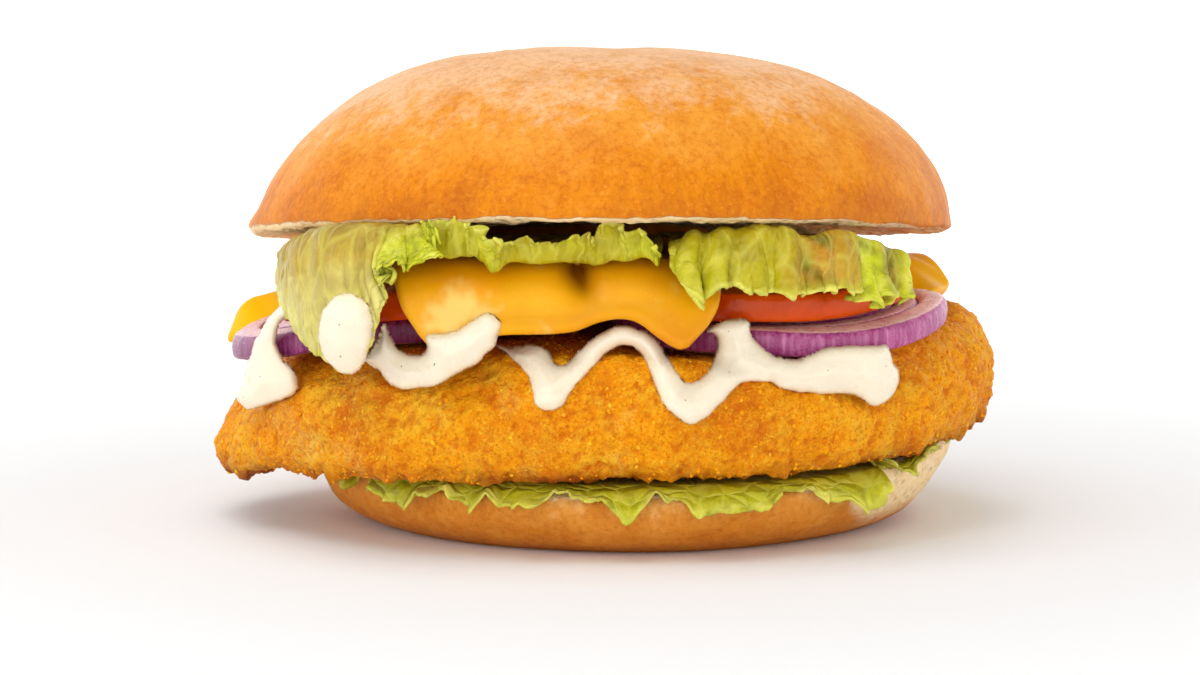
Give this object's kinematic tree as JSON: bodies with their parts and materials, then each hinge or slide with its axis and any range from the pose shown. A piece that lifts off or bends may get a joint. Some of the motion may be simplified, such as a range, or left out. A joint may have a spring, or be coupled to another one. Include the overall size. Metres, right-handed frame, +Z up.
{
  "type": "chicken burger",
  "caption": "Burger of a breaded chicken fillet with lettuce, red onion, tomato, melted cheese slices and creamy sauce in a split round bun.",
  "frame": {"origin": "on the ground, under the middle of the burger's bounding box", "axes": "+X to the right as seen from the front, where the fillings hang out; +Y to the back; +Z up"},
  "size_m": [0.1277, 0.1157, 0.0772],
  "materials": {
    "crust": "satin baked bread crust",
    "breading": "rough golden breadcrumbs",
    "lettuce": "moist leaf",
    "onion": "moist purple skin, pale flesh",
    "tomato": "wet",
    "cheese": "soft, melted",
    "sauce": "creamy"
  },
  "bodies": {
    "root": {"bun_crown": "crust", "bun_heel": "crust", "chicken_fillet": "breading", "lettuce_lower": "lettuce", "lettuce_left": "lettuce", "lettuce_front": "lettuce", "lettuce_right": "lettuce", "lettuce_back": "lettuce", "onion_left": "onion", "onion_right": "onion", "tomato_left": "tomato", "tomato_right": "tomato", "cheese_slice": "cheese", "cheese_flap": "cheese", "sauce_left_end": "sauce", "sauce_on_leaf": "sauce", "sauce_front_left": "sauce", "sauce_drizzle": "sauce"}
  },
  "joints": []
}
